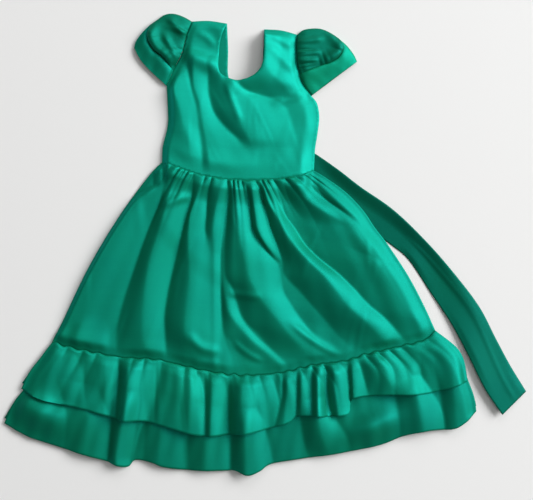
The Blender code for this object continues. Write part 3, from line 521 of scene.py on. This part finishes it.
def add_piece(name, points, faces, material):
    mesh = bpy.data.meshes.new(name)
    mesh.from_pydata([tuple(p) for p in to_frame(points)], [], faces)
    body = bmesh.new()
    body.from_mesh(mesh)
    bmesh.ops.recalc_face_normals(body, faces=body.faces)
    body.to_mesh(mesh)
    body.free()
    mesh.shade_smooth()
    mesh.set_sharp_from_angle(angle=math.radians(SHARP))
    made = bpy.data.objects.new(name, mesh)
    bpy.context.scene.collection.objects.link(made)
    mesh.materials.append(material)
    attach(made, "root")
    return made


def cloth_wall(name, plan, faces, lower, material):
    """A thin closed wall of cloth over one plan, with a rounded edge all round."""
    slopes = slope_of(plan, faces, lower)
    upper = lower + SKIN * np.minimum(np.sqrt(1 + slopes**2), STEEPEST)
    count = len(plan)
    ways = set()
    for face in faces:
        ways.update(zip(face, face[1:] + face[:1]))
    edge = [(a, b) for a, b in sorted(ways) if (b, a) not in ways]
    outward = np.zeros((count, 2))
    for a, b in edge:
        d = plan[b] - plan[a]
        n = np.array([d[1], -d[0]]) / max(math.hypot(*d), 1e-9)
        outward[a] += n
        outward[b] += n
    rim = sorted({i for pair in edge for i in pair})
    place = {i: 2 * count + k for k, i in enumerate(rim)}
    out = outward[rim] / np.maximum(np.linalg.norm(outward[rim], axis=1), 1e-9)[:, None]
    middle = np.column_stack([plan[rim] + out * RIM, (lower[rim] + upper[rim]) / 2])
    points = np.vstack([np.column_stack([plan, upper]), np.column_stack([plan, lower]), middle])
    made = [tuple(f) for f in faces] + [tuple(count + i for i in reversed(f)) for f in faces]
    for a, b in edge:
        made.append((b, a, place[a], place[b]))
        made.append((place[b], place[a], count + a, count + b))
    return add_piece(name, points, made, material)


# Materials

def node(tree, kind, **values):
    made = tree.nodes.new(kind)
    for key, value in values.items():
        if key in made.inputs:
            made.inputs[key].default_value = value
        else:
            setattr(made, key, value)
    return made


def taffeta(name, grain, seed, tone=1.0, shine=1.0, bend=2.45, cool=1.0):
    """Green taffeta: a fine cross weave with slubs, and a coloured shine."""
    material = bpy.data.materials.new(name)
    material.use_nodes = True
    tree = material.node_tree
    link = tree.links.new
    shader = tree.nodes["Principled BSDF"]
    place = node(tree, "ShaderNodeTexCoord")
    turn = node(tree, "ShaderNodeMapping")
    turn.inputs["Rotation"].default_value = (0.0, 0.0, math.radians(grain))
    turn.inputs["Location"].default_value = (seed, seed * 0.7, seed * 0.3)
    link(place.outputs["Object"], turn.inputs["Vector"])

    # Broad changes of tone, and slubs drawn out along the weft
    broad = node(tree, "ShaderNodeTexNoise", Scale=7.0, Detail=3.0, Roughness=0.55)
    link(turn.outputs["Vector"], broad.inputs["Vector"])
    drawn = node(tree, "ShaderNodeMapping")
    drawn.inputs["Scale"].default_value = (9.0, 420.0, 60.0)
    link(turn.outputs["Vector"], drawn.inputs["Vector"])
    slub = node(tree, "ShaderNodeTexNoise", Scale=1.0, Detail=2.0, Roughness=0.6)
    link(drawn.outputs["Vector"], slub.inputs["Vector"])
    both = node(tree, "ShaderNodeMath", operation="MULTIPLY_ADD")
    both.inputs[1].default_value = 0.35
    link(slub.outputs["Fac"], both.inputs[0])
    link(broad.outputs["Fac"], both.inputs[2])
    ramp = node(tree, "ShaderNodeValToRGB")
    ramp.color_ramp.elements[0].position = 0.45
    ramp.color_ramp.elements[1].position = 0.95
    # tone and cool scale this base colour. On the bodice front and the right band they paint a
    # highlight, and on the ties partly painted shade.
    for element, colour in zip(ramp.color_ramp.elements, (GREEN_DEEP, GREEN)):
        red, green, blue = (tone * share for share in colour)
        element.color = (red, green, blue * cool, 1.0)
    link(both.outputs[0], ramp.inputs["Fac"])
    link(ramp.outputs["Color"], shader.inputs["Base Color"])

    # The weave's threads, over and under
    warp = node(tree, "ShaderNodeTexWave", Scale=700.0, Distortion=1.0, Detail=1.0)
    weft = node(tree, "ShaderNodeTexWave", Scale=560.0, Distortion=1.0, Detail=1.0)
    warp.inputs["Detail Scale"].default_value = 0.5
    weft.inputs["Detail Scale"].default_value = 0.5
    weft.bands_direction = "Y"
    link(turn.outputs["Vector"], warp.inputs["Vector"])
    link(turn.outputs["Vector"], weft.inputs["Vector"])
    threads = node(tree, "ShaderNodeMath", operation="ADD")
    link(warp.outputs["Fac"], threads.inputs[0])
    link(weft.outputs["Fac"], threads.inputs[1])
    ridged = node(tree, "ShaderNodeMath", operation="MULTIPLY_ADD")
    ridged.inputs[1].default_value = 0.6
    link(slub.outputs["Fac"], ridged.inputs[0])
    link(threads.outputs[0], ridged.inputs[2])
    bump = node(tree, "ShaderNodeBump", Strength=0.22, Distance=0.0001)
    link(ridged.outputs[0], bump.inputs["Height"])
    link(bump.outputs["Normal"], shader.inputs["Normal"])

    # The shine is a little uneven, as a cloth's is
    uneven = node(tree, "ShaderNodeMapRange")
    uneven.inputs["To Min"].default_value = 0.57
    uneven.inputs["To Max"].default_value = 0.67
    link(broad.outputs["Fac"], uneven.inputs["Value"])
    link(uneven.outputs["Result"], shader.inputs["Roughness"])
    shader.inputs["IOR"].default_value = bend
    shader.inputs["Specular IOR Level"].default_value = shine
    shader.inputs["Specular Tint"].default_value = SHINE
    shader.inputs["Metallic"].default_value = 0.3
    shader.inputs["Sheen Weight"].default_value = 0.08
    shader.inputs["Sheen Roughness"].default_value = 0.4
    shader.inputs["Sheen Tint"].default_value = (0.1, 0.9, 0.75, 1.0)
    return material


# Heights: each gives the underside of one panel, in millimetres

def bodice_height(xy):
    edges = held_down(xy, (SIDE_LEFT, 14), (SIDE_RIGHT, 28), (ARMHOLE_LEFT, 14),
                      (ARMHOLE_RIGHT, 14), (SHOULDER_LEFT, 14), (SHOULDER_RIGHT, 14))
    from_waist = distance_to(xy, WAIST)[0]
    above_waist = smooth_step(from_waist / 32)
    at_waist = WAIST_LIFT * (1.0 - smooth_step(from_waist / 60))
    below_neck = distance_to(xy, NECK_FRONT)[0] / NECK_REACH
    rise = NECK_RISE * (1.0 - smooth_step(below_neck)) * smooth_step((xy[:, 0] + 30) / 24)
    fine = 0.3 * swells(xy[:, 0] / 300, xy[:, 1] / 300, 1, 8, 2, 9, 6)
    fine += creases(xy, 2, 22, ((-130, 0), (145, 190)), -80, 30, 30, 5.0, 0.4)
    own = folds(xy[:, 0], -xy[:, 1], BODICE_FOLDS) + crests(xy, BODICE_CRESTS)
    return (raised_by_sashes(xy) + LAYER
            + edges * (PUFF + at_waist + above_waist * (rise + own + fine)))


def gather_phase(across, count, seed):
    """Uneven gathers: rounded crests with pinched valleys, 0 to 1, and each one's own length."""
    rng = np.random.default_rng(SEED + seed)
    phase = count * across
    for _ in range(5):
        turns = rng.uniform(2, max(count / 3, 2.5))
        size = rng.uniform(0.1, 0.28)
        phase = phase + size * np.sin(2 * math.pi * (turns * across + rng.random()))
    own = 0.6 + 0.8 * rng.random(2 * count + 20)
    which = np.clip(np.floor(phase).astype(int) + 5, 0, len(own) - 1)
    return np.abs(np.sin(math.pi * phase)), own[which]


def skirt_height(xy, across):
    from_waist = distance_to(xy, WAIST)[0]
    from_seam = distance_to(xy, RUFFLE_SEAM)[0]
    sides = held_down(xy, (SKIRT_LEFT, 10), (SKIRT_RIGHT, 28))
    ends = smooth_step(from_waist / 20) * smooth_step(from_seam / 20)
    crest, own = gather_phase(across, SKIRT_GATHERS, 11)
    gathers = 4.2 * crest * own * np.exp(-from_waist / (38 * own)) * smooth_step(sides * 2)
    gathers *= smooth_step(from_waist / 5 + 0.15)
    to_ruffles = 2.7 * (1.0 - smooth_step(from_seam / 45))
    at_waist = smooth_step((xy[:, 0] - WAIST[0][0]) / 14)
    at_waist *= smooth_step((WAIST[-1][0] - xy[:, 0]) / 20)
    at_waist *= (PUFF + WAIST_LIFT) * (1.0 - smooth_step(from_waist / 50))
    down = from_waist / 380
    fine = 0.35 * swells(across, down, 12, 9, 7, 20, 0.6) * smooth_step(down * 4 + 0.2)
    fine += creases(xy, 13, 26, ((-300, -340), (330, -60)), -95, 24, 40, 6.0, 0.7)
    own = folds(xy[:, 0], -xy[:, 1], SKIRT_FOLDS) + crests(xy, SKIRT_CRESTS)
    return (raised_by_sashes(xy) + LAYER + to_ruffles + at_waist + gathers
            + sides * ends * (2.0 + own + fine))


def lower_ruffle_height(xy, across):
    from_seam = distance_to(xy, RUFFLE_SEAM)[0]
    sides = held_down(xy, (LOWER_LEFT, 24), (LOWER_RIGHT, 22))
    falling = smooth_step(from_seam / 60)
    wave = 0.5 - 0.5 * np.cos(2 * math.pi * RUFFLE_GATHERS / 2 * across)
    fine = 0.5 * swells(across, from_seam / 180, 21, 8, 12, 34, 0.8)
    fine = fine * smooth_step(from_seam / 90)
    own = folds(xy[:, 0], from_seam, LOWER_RUFFLE_FOLDS)
    own += puffs(xy[:, 0], from_seam, LOWER_RUFFLE_PUFFS)
    return 2 * LAYER + sides * falling * (1.0 + 0.6 * wave + own + fine)


def upper_ruffle_own(xy, across):
    """What the front's short ruffle adds over the one below it."""
    from_seam = distance_to(xy, RUFFLE_SEAM)[0]
    sides = held_down(xy, (UPPER_LEFT, 20), (UPPER_RIGHT, 18))
    crest, own = gather_phase(across, RUFFLE_GATHERS, 31)
    gathers = 4.0 * crest * own * np.exp(-from_seam / (34 * own)) * smooth_step(from_seam / 4 + 0.1)
    falling = smooth_step(from_seam / 24 + 0.15)
    fine = 0.5 * swells(across, from_seam / 90, 32, 8, 16, 44, 0.8)
    own = folds(xy[:, 0], from_seam, UPPER_RUFFLE_FOLDS)
    return sides * (0.8 + gathers + falling * (own + fine)), falling


def sash_height(across, down):
    """The right tie's outer edge is lifted beside the skirt, and its inner one at the tip."""
    free = smooth_step((down - 0.36) / 0.1)
    turned = smooth_step((down - 0.48) / 0.45)
    outer_edge = smooth_step(down / 0.12) * (1.0 - turned)
    lean = OUTER_LEAN * outer_edge * smooth_step((across - 0.5) / 0.6)
    lean += INNER_LEAN * turned * (1.0 - across)
    wave = 1.4 + 1.2 * np.sin(2 * math.pi * (2.6 * down + 0.35 * across + 0.2))
    edges = smooth_step(across / 0.2) * smooth_step((1 - across) / 0.2)
    crease = 0.8 * np.exp(-(((across - 0.62 + 0.1 * np.sin(7 * down)) / 0.06) ** 2))
    return lean + free * (edges * wave + crease) * smooth_step((1 - down) / 0.05 + 0.2)


# Panels

def build_bodice():
    waist = curve(WAIST, evenly(120))
    left = [stepped(SIDE_LEFT), stepped(ARMHOLE_LEFT)[::-1], stepped(SHOULDER_LEFT)]
    right = [stepped(SHOULDER_RIGHT), stepped(ARMHOLE_RIGHT), stepped(SIDE_RIGHT)[::-1]]
    plan, faces = filled(joined(*left, stepped(NECK_FRONT), *right, waist[::-1]), FRONT_PITCH)
    # The front's base colour is made lighter and bluer, tone 1.65 and cool 2.4: a painted highlight
    # for the sheen of a bodice that faces the light.
    front = cloth_wall("bodice_front_cloth", puckered(plan), faces, bodice_height(plan),
                       taffeta("taffeta_bodice_front", 4, 0.1, tone=1.65, bend=2.75, cool=2.4))
    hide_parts("bodice_front")

    middle = int(np.argmin(abs(waist[:, 0] - CENTRE_BACK[-1][0])))
    centre = curve([*CENTRE_BACK[:-1], waist[middle]], evenly(40))
    half_gap = np.array([JOIN / 2, 0.0])
    outlines = {
        "left": joined(*left, stepped(NECK_BACK_LEFT), centre - half_gap,
                       waist[: middle + 1][::-1] - half_gap),
        "right": joined(centre[::-1] + half_gap, stepped(NECK_BACK_RIGHT) + half_gap, *right,
                        waist[middle:][::-1]),
    }
    for side, outline in outlines.items():
        plan, faces = filled(outline, BACK_PITCH)
        made = cloth_wall(f"bodice_back_{side}_cloth", puckered(plan), faces,
                          raised_by_sashes(plan), taffeta(f"taffeta_bodice_back_{side}", -3, 0.3))
        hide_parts(f"bodice_back_{side}")


def build_skirt():
    top = shifted(WAIST, y=-JOIN)
    rows = evenly(122) ** 1.15
    plan, faces, across, _ = grid(top, RUFFLE_SEAM, SKIRT_LEFT, SKIRT_RIGHT, 230, rows)
    front = cloth_wall("skirt_front_cloth", puckered(plan), faces, skirt_height(plan, across),
                       taffeta("taffeta_skirt_front", 2, 0.5))
    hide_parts("skirt_front")
    plan, faces, _, _ = grid(top, RUFFLE_SEAM, SKIRT_LEFT, SKIRT_RIGHT, 120, evenly(60))
    back = cloth_wall("skirt_back_cloth", puckered(plan), faces, raised_by_sashes(plan),
                      taffeta("taffeta_skirt_back", -2, 0.7))
    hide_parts("skirt_back")


def build_ruffles():
    top = shifted(RUFFLE_SEAM, y=-JOIN)
    back_lower_hem = shifted(LOWER_HEM, y=BACK_HEM_RISE)
    back_upper_hem = shifted(UPPER_HEM, y=BACK_HEM_RISE)
    made = {}
    plan, faces, _, _ = grid(top, back_upper_hem, UPPER_LEFT[:-1] + back_upper_hem[:1],
                             UPPER_RIGHT[:-1] + back_upper_hem[-1:], 120, evenly(12))
    made["ruffle_upper_back"] = (plan, faces, np.zeros(len(plan)), (0.96, 0.095))
    plan, faces, _, _ = grid(top, back_lower_hem, LOWER_LEFT[:-1] + back_lower_hem[:1],
                             LOWER_RIGHT[:-1] + back_lower_hem[-1:], 120, evenly(20))
    made["ruffle_lower_back"] = (plan, faces, np.full(len(plan), LAYER), (0.96, 0.185))
    plan, faces, across, _ = grid(top, LOWER_HEM, LOWER_LEFT, LOWER_RIGHT, 280, evenly(52))
    made["ruffle_lower_front"] = (plan, faces, lower_ruffle_height(plan, across), (1.0, 0.185))
    plan, faces, across, _ = grid(top, UPPER_HEM, UPPER_LEFT, UPPER_RIGHT, 320, evenly(34))
    below = lower_ruffle_height(plan, across)
    steep = np.minimum(np.sqrt(1 + slope_of(plan, faces, below) ** 2), STEEPEST)
    own, falling = upper_ruffle_own(plan, across)
    made["ruffle_upper_front"] = (plan, faces, below + CLOTH * steep + SEAM + 0.5 * falling + own,
                                  (1.0, 0.095))
    for seed, (name, (plan, faces, lower, cut)) in enumerate(made.items()):
        tone = LOWER_RUFFLE_TONE if "lower" in name else 1.0
        piece = cloth_wall(name + "_cloth", puckered(plan), faces, lower,
                           taffeta("taffeta_" + name, 3 - 2 * seed, 1.0 + seed, tone, tone))
        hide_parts(name)


def tube(name, top, bottom, left, right, columns, rows, height, material):
    """A flattened tube: an upper layer at this height, a flat one below, and a fold each side."""
    plan = grid(top, bottom, left, right, columns, evenly(rows))[0]
    plan = plan.reshape(rows + 1, columns + 1, 2)
    rings = []
    for inset, lift in ((0.0, 0.0), (SKIN, SKIN)):
        radius = TUBE_EDGE - inset
        for row in plan:
            length = np.linalg.norm(np.diff(row, axis=0), axis=1).sum()
            share = min(TUBE_EDGE / length, 0.3)
            within = curve(row, share + (1 - 2 * share) * evenly(columns))
            up = np.maximum(height(within), 2 * TUBE_EDGE) - lift
            ring = [np.column_stack([within, up])]
            arc = np.linspace(90, -90, 7)[1:-1]
            for tip, begin in ((row[-1], within[-1]), (row[0], within[0])):
                way = (tip - begin) / max(np.linalg.norm(tip - begin), 1e-9)
                turned = np.radians(arc)
                flat = begin + np.cos(turned)[:, None] * radius * way
                z = TUBE_EDGE + np.sin(turned) * radius
                part = np.column_stack([flat, z])
                if tip is row[-1]:
                    ring.append(part)
                    ring.append(np.column_stack([within, np.full(len(within), lift)])[::-1])
                else:
                    ring.append(part[::-1])
            rings.append(np.vstack(ring))
    around = len(rings[0])
    total = (rows + 1) * around
    faces = []
    for k in range(around):
        n = (k + 1) % around
        for row in range(rows):
            a, b = row * around, (row + 1) * around
            faces.append((a + k, b + k, b + n, a + n))
            faces.append((total + a + n, total + b + n, total + b + k, total + a + k))
        last = rows * around
        faces.append((n, total + n, total + k, k))
        faces.append((last + k, total + last + k, total + last + n, last + n))
    return add_piece(name, np.vstack(rings), faces, material)


def build_sleeve(side, armhole, fold, seam, band_fold, cuff, puff_end, table, grain):
    out = -1.0 if side == "left" else 1.0
    armhole = shifted(armhole, x=out * 2 * JOIN)
    fold = [armhole[0], *fold[1:]]
    band_end = puff_end + UNDERARM_LENGTH
    head = part_of(armhole, 0.0, puff_end)
    under = part_of(armhole, puff_end, band_end)
    seam = [*seam, under[-1]]

    def puff_height(xy):
        from_head, along_head = distance_to(xy, head)
        from_seam, along_seam = distance_to(xy, seam)
        crown = dome(distance_to(xy, fold)[0] / 30) * dome(distance_to(xy, under)[0] / 16)
        crown *= dome(from_head / 20 + 0.1) * dome(from_seam / 18 + 0.3)
        crest, own = gather_phase(np.clip(along_head, 0, 1), 5, 40 + int(out))
        gathers = 2.2 * crest * own * np.exp(-((from_head / (26 * own)) ** 2))
        crest, own = gather_phase(np.clip(along_seam, 0, 1), 7, 44 + int(out))
        gathers += 1.6 * crest * own * np.exp(-((from_seam / (16 * own)) ** 2))
        return 2 * TUBE_EDGE + crown * (7.0 + gathers + crests(xy, table))

    puff = tube("sleeve_" + side + "_cloth", head, seam, fold, under, columns=64, rows=40,
                height=puff_height,
                material=taffeta("taffeta_sleeve_" + side, grain, 3.0 + out, tone=0.8, shine=0.68))
    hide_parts("sleeve_" + side)

    band_seam = shifted(seam, x=out * JOIN, y=-JOIN)
    band_under = part_of(armhole, band_end, 1.0)
    band_under = [band_seam[-1], *shifted(band_under[1:], x=out * SEAM)]
    cuff = [*cuff[:-1], band_under[-1]]
    band_fold = [band_seam[0], *band_fold[1:]]

    def band_height(xy):
        crown = dome(distance_to(xy, band_fold)[0] / 24)
        crown *= dome(distance_to(xy, band_under)[0] / 20)
        from_seam = distance_to(xy, band_seam)[0]
        crown *= dome(from_seam / 17 + 0.2) if side == "left" else dome(from_seam / 12 + 0.5)
        fine = 0.3 * swells(xy[:, 0] / 100, xy[:, 1] / 100, 50 + int(out), 6, 1, 5, 4)
        return 2 * TUBE_EDGE + crown * (1.5 + 8.5 * np.exp(-((from_seam / 24) ** 2)) + fine)

    # The right band's base colour is half as light again as the left's, tone 1.5: a painted
    # highlight for a band that faces the light, while the left one faces away.
    band = tube("sleeve_band_" + side + "_cloth", band_seam, cuff, band_fold, band_under,
                columns=48, rows=16, height=band_height,
                material=taffeta("taffeta_sleeve_band_" + side, grain + 40, 5.0 + out,
                                 tone=1.0 if side == "left" else 1.5))
    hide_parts("sleeve_band_" + side)


def build_sashes():
    for side, left, right in (("right", SASH_RIGHT_INNER, SASH_RIGHT_OUTER),
                              ("left", SASH_LEFT_OUTER, SASH_LEFT_INNER)):
        plan, faces, across, down = grid([left[0], right[0]], [left[-1], right[-1]],
                                         left, right, 20, evenly(190))
        lower = sash_height(across, down) if side == "right" else np.zeros(len(plan))
        # Both ties get a darker base colour and less shine, tone 0.5 and shine 0.5. This is partly
        # painted shade, for ties that lie in shade near the waist, and partly a grain that runs
        # another way.
        made = cloth_wall("sash_" + side + "_cloth", plan, faces, lower,
                          taffeta("taffeta_sash_" + side, 45, 7.0, tone=0.5, shine=0.5))
        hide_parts("sash_" + side)


# The stage

def build_stage():
    mesh = bpy.data.meshes.new("floor")
    corners = [(x * FLOOR_HALF, y * FLOOR_HALF, -FLOOR_DROP)
               for x, y in ((-1, -1), (1, -1), (1, 1), (-1, 1))]
    mesh.from_pydata(corners, [], [(0, 1, 2, 3)])
    floor = bpy.data.objects.new("floor", mesh)
    bpy.context.scene.collection.objects.link(floor)
    material = bpy.data.materials.new("floor_paper")
    material.use_nodes = True
    tree = material.node_tree
    shader = tree.nodes["Principled BSDF"]
    grain = node(tree, "ShaderNodeTexNoise", Scale=3.0, Detail=2.0)
    ramp = node(tree, "ShaderNodeValToRGB")
    ramp.color_ramp.elements[0].color = tuple(c * 0.985 for c in FLOOR_WHITE[:3]) + (1.0,)
    ramp.color_ramp.elements[1].color = FLOOR_WHITE
    tree.links.new(grain.outputs["Fac"], ramp.inputs["Fac"])
    tree.links.new(ramp.outputs["Color"], shader.inputs["Base Color"])
    shader.inputs["Roughness"].default_value = 0.9
    shader.inputs["Specular IOR Level"].default_value = 0.1
    mesh.materials.append(material)

    def softbox(name, size, place, power, colour):
        light = bpy.data.lights.new(name, "AREA")
        light.shape = "RECTANGLE"
        light.size, light.size_y = size
        light.energy = power
        light.color = colour
        lamp = bpy.data.objects.new(name, light)
        lamp.location = place
        lamp.rotation_euler = (-Vector(place)).to_track_quat("-Z", "Y").to_euler()
        bpy.context.scene.collection.objects.link(lamp)

    softbox("key", (7.0, 5.4), (8.5, 3.6, 5.8), 1450.0, (1.0, 1.0, 0.99))
    softbox("upper", (6.0, 4.0), (2.2, 8.6, 5.6), 200.0, (0.98, 0.99, 1.0))
    softbox("top", (3.0, 3.0), (0.6, 0.8, 5.4), 46.0, (1.0, 1.0, 0.97))
    world = bpy.data.worlds.new("studio")
    world.use_nodes = True
    world.node_tree.nodes["Background"].inputs["Color"].default_value = (1.0, 0.99, 0.96, 1.0)
    world.node_tree.nodes["Background"].inputs["Strength"].default_value = 0.15
    bpy.context.scene.world = world

    lens = bpy.data.cameras.new("camera")
    lens.sensor_width = SENSOR_WIDTH
    lens.lens = SENSOR_WIDTH * CAMERA_HEIGHT / PHOTO_WIDTH
    camera = bpy.data.objects.new("camera", lens)
    camera.location = (PHOTO_MIDDLE[0], PHOTO_MIDDLE[1], CAMERA_HEIGHT)
    camera.rotation_euler = (0.0, 0.0, 0.0)
    bpy.context.scene.collection.objects.link(camera)
    bpy.context.scene.camera = camera
    bpy.context.scene.view_settings.view_transform = "Standard"


build_stage()
build_sashes()
build_bodice()
build_skirt()
build_ruffles()
build_sleeve("left", ARMHOLE_LEFT, SLEEVE_FOLD_LEFT, BAND_SEAM_LEFT, BAND_FOLD_LEFT, CUFF_LEFT,
             PUFF_END_LEFT, SLEEVE_CRESTS_LEFT, 30)
build_sleeve("right", ARMHOLE_RIGHT, SLEEVE_FOLD_RIGHT, BAND_SEAM_RIGHT, BAND_FOLD_RIGHT,
             CUFF_RIGHT, PUFF_END_RIGHT, SLEEVE_CRESTS_RIGHT, -30)
